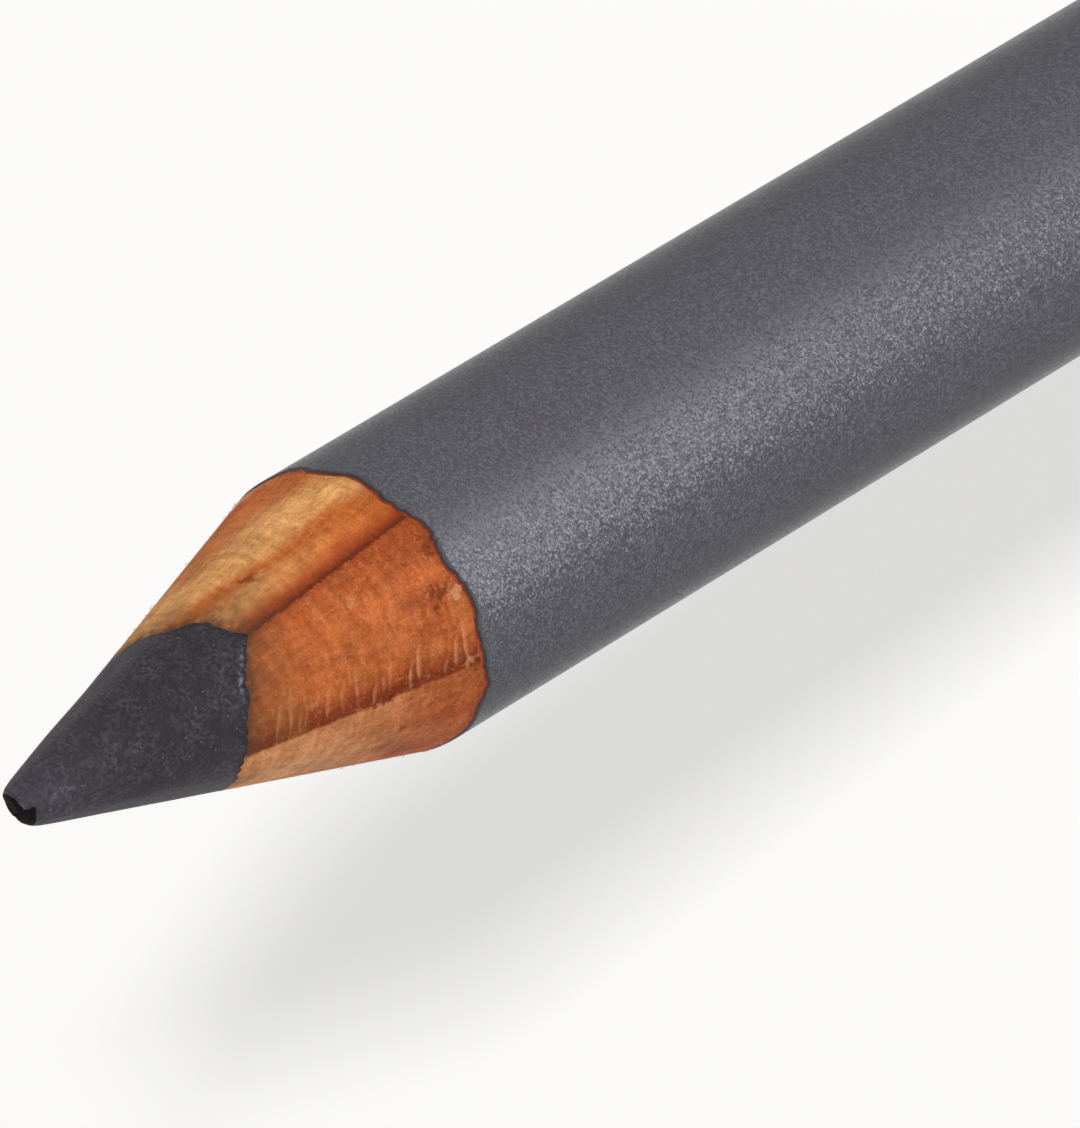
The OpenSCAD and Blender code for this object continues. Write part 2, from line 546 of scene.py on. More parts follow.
def mark_film(mesh, cut):
    """Stores how far the lacquer film broke away below the cut."""
    at = Surface(mesh, cut)
    broken = noise_round(at.turn, 26, 31) + 0.6 * noise_round(at.turn, 55, 32)
    set_value(mesh, "relief", cut.wander(at) - cut.sizes.chip * np.maximum(broken - 0.15, 0))
    set_flags(mesh, at.z > PENCIL_L)


# Geometry Nodes


def new_geometry_tree(name, inputs):
    """An empty tree with a geometry in and out, and inputs of the kinds given."""
    tree = bpy.data.node_groups.new(name, "GeometryNodeTree")
    for kind, sockets in (("Geometry", ("Geometry",)), *inputs.items()):
        for socket in sockets:
            tree.interface.new_socket(socket, in_out="INPUT", socket_type="NodeSocket" + kind)
    tree.interface.new_socket("Geometry", in_out="OUTPUT", socket_type="NodeSocketGeometry")
    return tree, add_node(tree, "NodeGroupInput").outputs


def sharpener_tree():
    """Lowers what stands above the sharpener's cone and the worn face, which is all that sharpening does."""
    tree, given = new_geometry_tree("sharpened", {
        "Vector": ("Cut axis", "Worn grade"),
        "Float": ("Apex height", "Half angle", "Barrel radius", "Swell depth", "Swell count", "Swell turn",
                  "Ripple depth", "Ripple count", "Ripple turn", "Worn height", "Tip rounding"),
        "Material": ("Material", "Cut material")})
    place = add_node(tree, "GeometryNodeInputPosition")
    xyz = add_node(tree, "ShaderNodeSeparateXYZ", inputs={0: place}).outputs
    flat = add_node(tree, "ShaderNodeVectorMath", {"operation": "MULTIPLY"}, {0: place, 1: (1, 1, 0)})
    out = add_node(tree, "ShaderNodeVectorMath", {"operation": "SUBTRACT"}, {0: flat, 1: given["Cut axis"]})
    reach = add_node(tree, "ShaderNodeVectorMath", {"operation": "LENGTH"}, {0: out}).outputs["Value"]
    sides = add_node(tree, "ShaderNodeSeparateXYZ", inputs={0: out}).outputs
    turn = add_node(tree, "ShaderNodeMath", {"operation": "ARCTAN2"}, {0: sides["Y"], 1: sides["X"]})
    waves = []
    for kind in ("Swell", "Ripple"):
        wave = add_node(tree, "ShaderNodeMath", {"operation": "SUBTRACT"}, {
            0: turn, 1: given[kind + " turn"]})
        wave = add_node(tree, "ShaderNodeMath", {"operation": "MULTIPLY"}, {
            0: wave, 1: given[kind + " count"]})
        wave = add_node(tree, "ShaderNodeMath", {"operation": "COSINE"}, {0: wave})
        waves.append(add_node(tree, "ShaderNodeMath", {"operation": "MULTIPLY"}, {
            0: wave, 1: given[kind + " depth"]}))
    wave = add_node(tree, "ShaderNodeMath", {"operation": "ADD"}, dict(enumerate(waves)))
    share = add_node(tree, "ShaderNodeMath", {"operation": "DIVIDE"}, {0: wave, 1: given["Barrel radius"]})
    wider = add_node(tree, "ShaderNodeMath", {"operation": "ADD"}, {0: share, 1: 1.0})
    slope = add_node(tree, "ShaderNodeMath", {"operation": "TANGENT"}, {0: given["Half angle"]})
    grade = add_node(tree, "ShaderNodeMath", {"operation": "MULTIPLY"}, {0: slope, 1: wider})
    drop = add_node(tree, "ShaderNodeMath", {"operation": "DIVIDE"}, {0: reach, 1: grade})
    cone = add_node(tree, "ShaderNodeMath", {"operation": "SUBTRACT"}, {0: given["Apex height"], 1: drop})
    rise = add_node(tree, "ShaderNodeVectorMath", {"operation": "DOT_PRODUCT"}, {
        0: out, 1: given["Worn grade"]}).outputs["Value"]
    worn = add_node(tree, "ShaderNodeMath", {"operation": "ADD"}, {0: rise, 1: given["Worn height"]})
    cut = add_node(tree, "ShaderNodeMath", {"operation": "SMOOTH_MIN"}, {
        0: cone, 1: worn, 2: given["Tip rounding"]})
    relief = add_node(tree, "GeometryNodeInputNamedAttribute", {"data_type": "FLOAT"}, {"Name": "relief"})
    marked = add_node(tree, "ShaderNodeMath", {"operation": "ADD"}, {0: cut, 1: relief})
    height = add_node(tree, "ShaderNodeMath", {"operation": "MINIMUM"}, {0: xyz["Z"], 1: marked})
    moved = add_node(tree, "ShaderNodeCombineXYZ", inputs={"X": xyz["X"], "Y": xyz["Y"], "Z": height})
    lowered = add_node(tree, "GeometryNodeSetPosition", inputs={
        "Geometry": given["Geometry"], "Position": moved})
    plain = add_node(tree, "GeometryNodeRealizeInstances", inputs={"Geometry": lowered})
    first = add_node(tree, "GeometryNodeSetMaterial", inputs={
        "Geometry": plain, "Material": given["Material"]})
    is_cut = add_node(tree, "GeometryNodeInputNamedAttribute", {"data_type": "BOOLEAN"}, {
        "Name": "cut_face"})
    second = add_node(tree, "GeometryNodeSetMaterial", inputs={
        "Geometry": first, "Selection": is_cut, "Material": given["Cut material"]})
    add_node(tree, "NodeGroupOutput", inputs={"Geometry": second})
    return tree


def fibre_tree():
    """Scatters short bent fibres over the cut wood, thickest where the grain is torn."""
    tree, given = new_geometry_tree("raised_fibres", {
        "Float": ("Length", "Width", "Density"), "Int": ("Seed",), "Material": ("Material",)})
    torn = add_node(tree, "GeometryNodeInputNamedAttribute", {"data_type": "FLOAT"}, {"Name": "torn"})
    density = add_node(tree, "ShaderNodeMath", {"operation": "MULTIPLY"}, {0: given["Density"], 1: torn})
    scatter = add_node(tree, "GeometryNodeDistributePointsOnFaces", inputs={
        "Mesh": given["Geometry"], "Density": density, "Seed": given["Seed"]})
    whole = add_node(tree, "ShaderNodeCombineXYZ", inputs={"X": given["Length"], "Z": given["Length"]})
    middle = add_node(tree, "ShaderNodeVectorMath", {"operation": "MULTIPLY"}, {0: whole, 1: (0.3, 0, 0.5)})
    end = add_node(tree, "ShaderNodeVectorMath", {"operation": "MULTIPLY"}, {0: whole, 1: (1, 0, 0.15)})
    spine = add_node(tree, "GeometryNodeCurveQuadraticBezier", inputs={
        "Resolution": 5, "Start": (0, 0, 0), "Middle": middle, "End": end})
    section = add_node(tree, "GeometryNodeCurvePrimitiveCircle", inputs={
        "Resolution": 4, "Radius": given["Width"]})
    hair = add_node(tree, "GeometryNodeCurveToMesh", inputs={
        "Curve": spine, "Profile Curve": section, "Fill Caps": True})
    upright = add_node(tree, "FunctionNodeAlignRotationToVector", {"axis": "Z"}, {
        "Vector": scatter.outputs["Normal"]})
    spin = add_node(tree, "FunctionNodeRandomValue", {"data_type": "FLOAT"}, {
        2: 0.0, 3: math.tau, "Seed": given["Seed"]})
    spun = add_node(tree, "ShaderNodeCombineXYZ", inputs={"Z": spin.outputs[1]})
    spin_turn = add_node(tree, "FunctionNodeEulerToRotation", inputs={0: spun})
    turned = add_node(tree, "FunctionNodeRotateRotation", {"rotation_space": "LOCAL"}, {
        "Rotation": upright, "Rotate By": spin_turn})
    size = add_node(tree, "FunctionNodeRandomValue", {"data_type": "FLOAT"}, {2: 0.35, 3: 1.2, "Seed": 5})
    placed = add_node(tree, "GeometryNodeInstanceOnPoints", inputs={
        "Points": scatter, "Instance": hair, "Rotation": turned, "Scale": size.outputs[1]})
    real = add_node(tree, "GeometryNodeRealizeInstances", inputs={"Geometry": placed})
    dressed = add_node(tree, "GeometryNodeSetMaterial", inputs={
        "Geometry": real, "Material": given["Material"]})
    add_node(tree, "NodeGroupOutput", inputs={"Geometry": dressed})
    return tree


def run_tree(name, mesh, tree, values):
    """Puts the mesh through the node tree and returns an object with the plain result."""
    piece = bpy.data.objects.new(name, mesh)
    bpy.context.scene.collection.objects.link(piece)
    modifier = piece.modifiers.new(tree.name, "NODES")
    modifier.node_group = tree
    for item in tree.interface.items_tree:
        if item.in_out == "INPUT" and item.name in values:
            modifier[item.identifier] = values[item.name]
    depsgraph = bpy.context.evaluated_depsgraph_get()
    plain = bpy.data.meshes.new_from_object(
        piece.evaluated_get(depsgraph), preserve_all_data_layers=True, depsgraph=depsgraph)
    plain.name = name
    piece.modifiers.remove(modifier)
    piece.data = plain
    return piece


def sharpen(name, mesh, cut, material, cut_material=None):
    """Runs a blank through the sharpener."""
    s = cut.sizes
    tree = bpy.data.node_groups.get("sharpened") or sharpener_tree()
    return run_tree(name, mesh, tree, {
        "Cut axis": cut.axis, "Worn grade": cut.grade, "Apex height": cut.apex_z, "Half angle": cut.half,
        "Barrel radius": BARREL_R, "Swell depth": s.swell_depth, "Swell count": float(s.swell_count),
        "Swell turn": s.swell_turn, "Ripple depth": s.ripple_depth,
        "Ripple count": float(s.ripple_count), "Ripple turn": s.ripple_turn, "Worn height": cut.worn_z,
        "Tip rounding": s.tip_rounding, "Material": material, "Cut material": cut_material or material})


# Materials


def empty_tree(block):
    """The node tree of a new material or world, with nothing in it."""
    block.use_nodes = True
    block.node_tree.nodes.clear()
    return block.node_tree


def set_surface(tree, inputs):
    """Ends a material with its shader."""
    shader = add_node(tree, "ShaderNodeBsdfPrincipled", inputs=inputs)
    add_node(tree, "ShaderNodeOutputMaterial", inputs={"Surface": shader})


def millimetres(tree, scale=(1, 1, 1)):
    """Object coordinates in millimetres, times a scale along each axis."""
    where = add_node(tree, "ShaderNodeTexCoord").outputs["Object"]
    return add_node(tree, "ShaderNodeVectorMath", {"operation": "MULTIPLY"}, {
        0: where, 1: [value / MM for value in scale]})


def radius_mm(tree):
    """Distance from the barrel's axis in millimetres."""
    flat = millimetres(tree, (1, 1, 0))
    return add_node(tree, "ShaderNodeVectorMath", {"operation": "LENGTH"}, {0: flat}).outputs["Value"]


def tinted(tree, base, tone, value, start=0.0, end=1.0, most=1.0, change="LINEAR"):
    """The base colour, with more of the tone as the value goes from start to end, up to the share most."""
    share = add_node(tree, "ShaderNodeMapRange", {"interpolation_type": change}, {
        "Value": value, "From Min": start, "From Max": end, "To Max": most})
    return add_node(tree, "ShaderNodeMix", {"data_type": "RGBA"}, {
        "Factor": share, 6: base, 7: tone}).outputs[2]


def ring_bands(tree, place, stops):
    """Colours of the growth rings at a place across them, from stops in mm."""
    first, last = stops[0][0], stops[-1][0]
    share = add_node(tree, "ShaderNodeMapRange", inputs={
        "Value": place, "From Min": first, "From Max": last})
    ramp = add_node(tree, "ShaderNodeValToRGB", inputs={0: share})
    bands = ramp.color_ramp.elements
    bands.remove(bands[0])
    for index, (stop, shade) in enumerate(stops):
        position = (stop - first) / (last - first)
        band = bands[0] if index == 0 else bands.new(position)
        band.position = position
        band.color = shade
    return ramp.outputs[0]


def lacquer_material(colours):
    """Nitrocellulose lacquer, dipped and buffed, with aluminium flake: a soft sheen full of fine sparkle.

    Real flakes are about 0.03 mm; they are drawn at 0.05 mm so that they show.
    """
    material = bpy.data.materials.new("flaked_lacquer")
    tree = empty_tree(material)
    flakes = add_node(tree, "ShaderNodeTexVoronoi", {"feature": "F1"}, {
        "Vector": millimetres(tree), "Scale": 20.0, "Randomness": 1.0}).outputs["Color"]
    lean = add_node(tree, "ShaderNodeVectorMath", {"operation": "MULTIPLY_ADD"}, {
        0: flakes, 1: [0.3] * 3, 2: [-0.15] * 3})
    normal = add_node(tree, "ShaderNodeNewGeometry").outputs["Normal"]
    leaning = add_node(tree, "ShaderNodeVectorMath", {"operation": "ADD"}, {0: normal, 1: lean})
    facing = add_node(tree, "ShaderNodeVectorMath", {"operation": "NORMALIZE"}, {0: leaning})
    tone = add_node(tree, "ShaderNodeSeparateColor", inputs={0: flakes})
    set_surface(tree, {
        "Base Color": tinted(tree, colours.lacquer, colours.flake, tone, 0.4, 1.0, 0.8),
        "Normal": facing, "Metallic": 0.85, "Roughness": 0.28, "Specular Tint": linear("a6a6a6"),
        "Coat Weight": 0.14, "Coat Roughness": 0.2})
    return material


def film_material(colours):
    """Lacquer cut through by the blade: primer stained by the wood, a dull dark coat, and the skin."""
    material = bpy.data.materials.new("cut_lacquer_edge")
    tree = empty_tree(material)
    coats = ((0.0, colours.stain), (0.3, colours.dark), (0.48, colours.film), (0.62, colours.film),
             (0.85, colours.film_skin))
    ragged = add_node(tree, "ShaderNodeTexNoise", inputs={
        "Vector": millimetres(tree), "Scale": 2.2, "Detail": 3.0, "Roughness": 0.6})
    wander = add_node(tree, "ShaderNodeMapRange", inputs={
        "Value": ragged, "From Min": 0.3, "From Max": 0.7, "To Min": -0.012, "To Max": 0.018})
    place = add_node(tree, "ShaderNodeMath", {"operation": "ADD"}, {0: radius_mm(tree), 1: wander})
    stops = [((WOOD_R + share * FILM_T) / MM, tone) for share, tone in coats]
    set_surface(tree, {
        "Base Color": ring_bands(tree, place, stops), "Roughness": 0.65, "Specular IOR Level": 0.2})
    return material


def wax_material(colours):
    """Charcoal pigment in hard wax, shaved by a blade: satin, with fine lighter grains and pearl specks.

    It is painted a little lighter towards the tip.
    """
    material = bpy.data.materials.new("shaved_wax")
    tree = empty_tree(material)
    where = millimetres(tree)
    cloud = add_node(tree, "ShaderNodeTexNoise", inputs={
        "Vector": where, "Scale": 1.6, "Detail": 3.0, "Roughness": 0.6})
    grain = add_node(tree, "ShaderNodeTexNoise", inputs={
        "Vector": where, "Scale": 9.0, "Detail": 4.0, "Roughness": 0.7, "Distortion": 0.3})
    fleck = add_node(tree, "ShaderNodeMapRange", inputs={
        "Value": grain, "From Min": 0.42, "From Max": 0.68})
    gain = add_node(tree, "ShaderNodeMapRange", inputs={
        "Value": cloud, "From Min": 0.36, "From Max": 0.64, "To Min": 0.25, "To Max": 0.8})
    height = add_node(tree, "ShaderNodeSeparateXYZ", inputs={0: where}).outputs["Z"]
    lighter_to_tip = add_node(tree, "ShaderNodeMapRange", inputs={
        "Value": height, "From Min": PENCIL_L / MM - 3.5, "From Max": PENCIL_L / MM - 0.5, "To Max": 0.2})
    amount = add_node(tree, "ShaderNodeMath", {"operation": "MULTIPLY_ADD"}, {0: fleck, 1: gain, 2: lighter_to_tip})
    crystal = add_node(tree, "ShaderNodeTexVoronoi", inputs={"Vector": where, "Scale": 3.2})
    painted_glint, rim = (add_node(tree, "ShaderNodeAttribute", {"attribute_name": name}).outputs["Fac"]
                   for name in ("painted_glint", "rim"))
    shade = tinted(tree, colours.wax, colours.wax_light, amount)
    shade = tinted(tree, shade, colours.glint, crystal, 0.1, 0.03, 0.5)
    # Painted highlights along the lit edge and on one spot
    shade = tinted(tree, shade, colours.glint, painted_glint, 0.25, 1.1, 0.8)
    # Painted shade along the core's rim, in the worn face's near-black
    shade = tinted(tree, shade, colours.worn, rim, most=0.8)
    bump = add_node(tree, "ShaderNodeBump", inputs={
        "Strength": 0.6, "Distance": 0.03 * MM, "Height": grain})
    set_surface(tree, {
        "Base Color": shade, "Normal": bump, "Roughness": 0.55, "Specular IOR Level": 0.2})
    return material


def tip_shade_material(colours):
    """The tip's worn face: painted shade, nearly black, dull and smooth."""
    material = bpy.data.materials.new("tip_shaded_wax")
    set_surface(empty_tree(material), {
        "Base Color": colours.worn, "Roughness": 0.75, "Specular IOR Level": 0.1})
    return material


def cedar_material(name, colours, ring_turn, rings, side):
    """Red cedar cut by a sharpener: bands of spring and summer wood, open grain, and torn fibres.

    The grain's streaks are about 0.1 mm wide, and the fuzz of cut fibres about 0.05 mm.
    """
    material = bpy.data.materials.new(name)
    tree = empty_tree(material)

    # Patterns in the wood: stretch along each axis, waves per mm, detail, roughness and distortion
    streak, fuzz, curl, blade, blot, warp = (
        add_node(tree, "ShaderNodeTexNoise", inputs={
            "Vector": millimetres(tree, stretch), "Scale": waves, "Detail": detail,
            "Roughness": roughness, "Distortion": distortion})
        for stretch, waves, detail, roughness, distortion in (
            ((1, 1, 0.1), 5.0, 4.0, 0.65, 0.0),
            ((1, 1, 1), 12.0, 2.0, 0.7, 1.5),
            ((1, 1, 1), 8.0, 3.0, 0.7, 1.0),
            ((0.35, 0.35, 1.7), 2.6, 3.0, 0.5, 0.0),
            ((1, 1, 0.5), 1.3, 3.0, 0.6, 0.0),
            ((1, 1, 0.3), 1.6, 4.0, 0.6, 0.0)))
    ring, stain, torn, smear = (
        add_node(tree, "ShaderNodeAttribute", {"attribute_name": mark}).outputs["Fac"]
        for mark in ("above_ring", "stain", "mark", "smear"))

    # Rings, whose edges wander with the grain
    where = millimetres(tree)
    if side == RIGHT:
        across = add_node(tree, "ShaderNodeVectorMath", {"operation": "DOT_PRODUCT"}, {
            0: where, 1: heading(ring_turn)}).outputs["Value"]
        shift = add_node(tree, "ShaderNodeMapRange", inputs={
            "Value": warp, "From Min": 0.25, "From Max": 0.75, "To Min": -0.2, "To Max": 0.2})
        ring = add_node(tree, "ShaderNodeMath", {"operation": "ADD"}, {0: across, 1: shift})
    radius = radius_mm(tree)
    inner, outer = (ring_bands(tree, ring, stops) for stops in rings)
    shade = tinted(tree, inner, outer, radius, 2.4, 3.8, change="SMOOTHSTEP")

    # Blots of redder and browner wood
    blotted = add_node(tree, "ShaderNodeMapRange", inputs={
        "Value": blot, "From Min": 0.3, "From Max": 0.7, "To Min": 0.35, "To Max": -0.35})
    stained = add_node(tree, "ShaderNodeMath", {"operation": "ADD"}, {0: stain, 1: blotted})
    shade = tinted(tree, shade, colours.stain, stained, 0.0, 1.2, 0.85)
    shade = tinted(tree, shade, colours.brown, stained, -0.1, -1.2, 0.75)

    # Grain, fuzz and blade lines lighten and darken the wood; the lighter fuzz and blade lines are also
    # painted paler, a painted sheen of fibres in the light
    plain = (1.0, 1.0, 1.0)
    # Painted sheen: shares by which green and blue swing more than red, so a lighter fibre is a paler one
    dry = (1.0, 1.6, 2.6)
    for pattern, swing, shares in (
            (blot, 0.12, plain), (streak, 0.19, plain), (fuzz, 0.17, dry), (blade, 0.135, dry)):
        level = add_node(tree, "ShaderNodeMapRange", {"data_type": "FLOAT_VECTOR"}, {
            "Vector": pattern, 7: [0.33] * 3, 8: [0.67] * 3,
            9: [1 - swing * share for share in shares],
            10: [1 + swing * share for share in shares]}).outputs["Vector"]
        shade = add_node(tree, "ShaderNodeMix", {"data_type": "RGBA", "blend_type": "MULTIPLY"}, {
            "Factor": 1.0, 6: shade, 7: level}).outputs[2]

    # Painted highlights: golden flecks where curled ends of cut fibres catch the light, and the gaps between
    # them are redder
    shade = tinted(tree, shade, colours.curl, curl, 0.52, 0.72, 0.35)
    shade = tinted(tree, shade, colours.stain, curl, 0.48, 0.3, 0.4)

    # Dark glue joint, and painted shade beside it on both slats, widest on the right one, whose edge rounds
    # down to the joint: how far, where it is strongest, and its most
    waver = add_node(tree, "ShaderNodeMath", {"operation": "MULTIPLY_ADD"}, {0: curl, 1: -0.4, 2: 0.2})
    place_x = add_node(tree, "ShaderNodeSeparateXYZ", inputs={0: where}).outputs["X"]
    joint_x = add_node(tree, "ShaderNodeMath", {"operation": "ADD"}, {0: place_x, 1: waver})
    joint_and_shade = ((-0.3, 0.0, 0.5, colours.stain), (-0.08, 0.02, 0.8, colours.joint))
    if side == RIGHT:
        joint_and_shade = ((0.66, 0.12, 0.7, colours.stain), (0.42, 0.0, 0.8, colours.dark),
                 (0.17, 0.0, 0.75, colours.joint))
    for reach, start, most, tone in joint_and_shade:
        shade = tinted(tree, shade, tone, joint_x, reach, start, most, "SMOOTHSTEP")

    # Torn pale lips, and painted shade in the dark pits and dips
    thread = add_node(tree, "ShaderNodeMapRange", inputs={
        "Value": fuzz, "From Min": 0.35, "From Max": 0.62, "To Min": 0.6, "To Max": 1.2})
    ragged = add_node(tree, "ShaderNodeMath", {"operation": "MULTIPLY"}, {0: torn, 1: thread})
    for limit, tone, most in ((0.9, colours.fibre, 0.6), (-0.9, colours.joint, 0.7)):
        shade = tinted(tree, shade, tone, ragged, limit * 0.05, limit, most)

    # Pigment dragged from the core, and a darker line along the wood's edge under the lacquer
    smeared = add_node(tree, "ShaderNodeMath", {"operation": "MULTIPLY_ADD"}, {0: fuzz, 1: 0.8, 2: smear})
    shade = tinted(tree, shade, colours.smear, smeared, 0.48, 1.2, 0.9)
    shade = tinted(tree, shade, colours.joint, radius, WOOD_R / MM - 0.05, WOOD_R / MM, 0.25)

    height = add_node(tree, "ShaderNodeMath", {"operation": "ADD"}, {0: streak, 1: fuzz})
    bump = add_node(tree, "ShaderNodeBump", inputs={
        "Strength": 0.6, "Distance": 0.02 * MM, "Height": height})
    set_surface(tree, {
        "Base Color": shade, "Normal": bump, "Roughness": 0.65, "Specular IOR Level": 0.12})
    return material


def fibre_material(colours):
    """Loose cedar fibres, lifted by the blade: pale and dry."""
    material = bpy.data.materials.new("cedar_fibre")
    tree = empty_tree(material)
    tone = add_node(tree, "ShaderNodeTexNoise", inputs={"Vector": millimetres(tree), "Scale": 2.0})
    set_surface(tree, {
        "Base Color": tinted(tree, colours.fibre, colours.orange, tone), "Roughness": 0.7})
    return material


# Pieces


def finish_piece(piece, node=None):
    """Rides the pencil's one body, and takes the place of its solid."""
    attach(piece, "root")
    if node:
        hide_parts(node)


class PENCIL_OT_core(bpy.types.Operator):
    """Makes the wax core with its shaved point and worn tip"""

    bl_idname = "pencil.core"
    bl_label = "Wax core"

    def execute(self, context):
        cut = Cut(context.scene.pencil_sizes)
        turns = np.arange(CORE_TURNS) * math.tau / CORE_TURNS
        edge = core_edge(turns, cut.sizes)
        shares = np.linspace(1, 0, CORE_ROWS)
        radii = np.column_stack([np.zeros(CORE_TURNS), edge, *(edge * share for share in shares)])
        heights = np.full(radii.shape, BLANK_TOP)
        heights[:, :2] = END_FILM_T
        mesh = solid_of_profiles("core", turns, radii, heights, {1, 2}, closed=True)
        mark_wax(mesh, cut)
        c = context.scene.pencil_colours
        piece = sharpen("core_wax", mesh, cut, wax_material(c), tip_shade_material(c))
        finish_piece(piece, "core")
        return {"FINISHED"}


def slat_blank(name, side, cut):
    """Half-round slat with its groove, before it is sharpened."""
    first = -math.pi / 2 if side == RIGHT else math.pi / 2
    turns = np.linspace(first, first + math.pi, SLAT_TURNS)
    inner = core_edge(turns, cut.sizes)
    rim_x, rim_z = rim_profile(WOOD_R, END_FILM_T, cut.sizes.end_rim - FILM_T)
    rows = [inner] + [np.full(SLAT_TURNS, radius) for radius in rim_x]
    rows += [inner + (WOOD_R - inner) * share for share in np.linspace(1, 0, SLAT_ROWS)]
    radii = np.column_stack(rows)
    heights = np.full(radii.shape, BLANK_TOP)
    heights[:, 0] = END_FILM_T
    heights[:, 1:1 + len(rim_z)] = rim_z
    corners = {0, 1 + len(rim_z), radii.shape[1] - 1}
    return solid_of_profiles(name, turns, radii, heights, corners, closed=False)


class PENCIL_OT_slats(bpy.types.Operator):
    """Makes both cedar slats with their cut faces"""

    bl_idname = "pencil.slats"
    bl_label = "Cedar slats"

    def execute(self, context):
        cut = Cut(context.scene.pencil_sizes)
        c = context.scene.pencil_colours

        # Growth rings near the core and near the lacquer: places across them in mm, and colours
        right_turn = math.radians(-8)
        right_inner = (
            (0.0, c.red), (0.6, c.orange), (1.05, c.tan), (1.3, c.tan), (1.6, c.orange), (1.7, c.orange),
            (1.95, c.tan), (2.6, c.tan), (2.95, c.orange), (3.35, c.tan), (4.0, c.orange))
        right_outer = (
            (0.0, c.red), (0.7, c.red), (1.1, c.orange), (1.65, c.orange), (2.1, c.tan), (2.7, c.tan),
            (3.2, c.orange), (3.45, c.orange), (3.6, c.red), (3.8, c.tan), (4.0, c.orange))
        left_inner = (
            (-3.2, c.fibre), (-1.5, c.fibre), (-0.6, c.pale), (-0.09, c.pale), (-0.02, c.dark),
            (0.2, c.dark), (0.5, c.stain), (0.9, c.deep), (1.9, c.deep), (2.3, c.heart), (3.4, c.stain))
        left_outer = (
            (-3.2, c.heart), (-1.4, c.heart), (-0.4, c.deep), (-0.09, c.deep), (-0.02, c.dark),
            (0.2, c.dark), (0.45, c.stain), (0.8, c.deep), (1.9, c.deep), (2.6, c.heart), (3.4, c.stain))

        for name, side, ring_turn, rings in (
                ("right", RIGHT, right_turn, (right_inner, right_outer)),
                ("left", LEFT, cut.sizes.ring_turn, (left_inner, left_outer))):
            node = "slat_" + name
            mesh = slat_blank(node, side, cut)
            mark_wood(mesh, cut, side)
            cedar = cedar_material("cedar_" + name, c, ring_turn, rings, side)
            finish_piece(sharpen(node + "_cedar", mesh, cut, cedar), node)
        return {"FINISHED"}


class PENCIL_OT_lacquer(bpy.types.Operator):
    """Makes the lacquer film round the barrel and over its flat end"""

    bl_idname = "pencil.lacquer"
    bl_label = "Lacquer"

    def execute(self, context):
        cut = Cut(context.scene.pencil_sizes)
        c = context.scene.pencil_colours
        turns = np.arange(FILM_TURNS) * math.tau / FILM_TURNS
        inner_x, inner_z = rim_profile(WOOD_R, END_FILM_T, cut.sizes.end_rim - FILM_T)
        outer_x, outer_z = rim_profile(BARREL_R, 0, cut.sizes.end_rim)
        edge = np.linspace(BARREL_R, WOOD_R, FILM_ROWS)
        radius = np.concatenate([[0], outer_x, edge, inner_x[::-1], [0]])
        top = np.full(FILM_ROWS, BLANK_TOP)
        height = np.concatenate([[0], outer_z, top, inner_z[::-1], [END_FILM_T]])
        radii = np.tile(radius, (FILM_TURNS, 1))
        heights = np.tile(height, (FILM_TURNS, 1))
        corners = {1 + len(outer_x), len(outer_x) + FILM_ROWS}
        mesh = solid_of_profiles("lacquer", turns, radii, heights, corners, closed=True)
        mark_film(mesh, cut)
        piece = sharpen("lacquer_film", mesh, cut, lacquer_material(c), film_material(c))
        finish_piece(piece, "lacquer")
        return {"FINISHED"}


class PENCIL_OT_fibres(bpy.types.Operator):
    """Raises loose fibres on the cut cedar"""

    bl_idname = "pencil.fibres"
    bl_label = "Raised fibres"

    def execute(self, context):
        sizes = context.scene.pencil_sizes
        material = fibre_material(context.scene.pencil_colours)
        tree = fibre_tree()
        for seed, name in enumerate(("right", "left"), start=1):
            source = bpy.data.objects["slat_" + name + "_cedar"].data.copy()
            normals = np.array([face.normal for face in source.polygons])
            centres = np.array([face.center for face in source.polygons])
            on_cut = (normals[:, 2] > 0.1) & (centres[:, 2] > PENCIL_L / 2)
            radius = np.hypot(centres[:, 0], centres[:, 1])
            torn = on_cut * (0.15 + 0.85 * smooth_step(radius, 3.5 * MM, 3.9 * MM))
            torn = torn * smooth_step(np.abs(centres[:, 0]), 0.1 * MM, 0.4 * MM)
            set_value(source, "torn", torn, "FACE")
            piece = run_tree("slat_" + name + "_fibres", source, tree, {
                "Length": sizes.fibre_length, "Width": sizes.fibre_width / 2,
                "Density": FIBRES_PER_MM2 / MM ** 2, "Seed": seed, "Material": material})
            finish_piece(piece)
        return {"FINISHED"}


# Studio

# The photograph's frame, and where in it a point of the barrel's axis stands
PHOTO_W, PHOTO_H = 1080, 1128
AIM_PIXEL = (350.0, 615.6)
AIM_BELOW_APEX = 14.677 * MM
VIEW_DISTANCE = 450.9 * MM
VIEW_TURN = math.radians(-110.5)
VIEW_RISE = math.radians(42.656)
VIEW_ROLL = math.radians(-121.205)
LENS_MM = 576.2
SENSOR_MM = 36.0

# Light: an even world, a key lamp just above the camera, and a low one that the barrel mirrors
WORLD_LEVEL = 0.40
FLOOR_GLOW = 0.355
FLOOR_R = 3.0
KEY_ABOVE = math.radians(3.3)
KEY_DISTANCE = 2.0
KEY_SIZE = 0.055
KEY_LEVEL = 0.51
LOW_TURN = VIEW_TURN - math.radians(13)
LOW_DISTANCE = 0.13
LOW_WIDTH = 0.14
LOW_HEIGHT = 0.06
LOW_LEVEL = 0.215


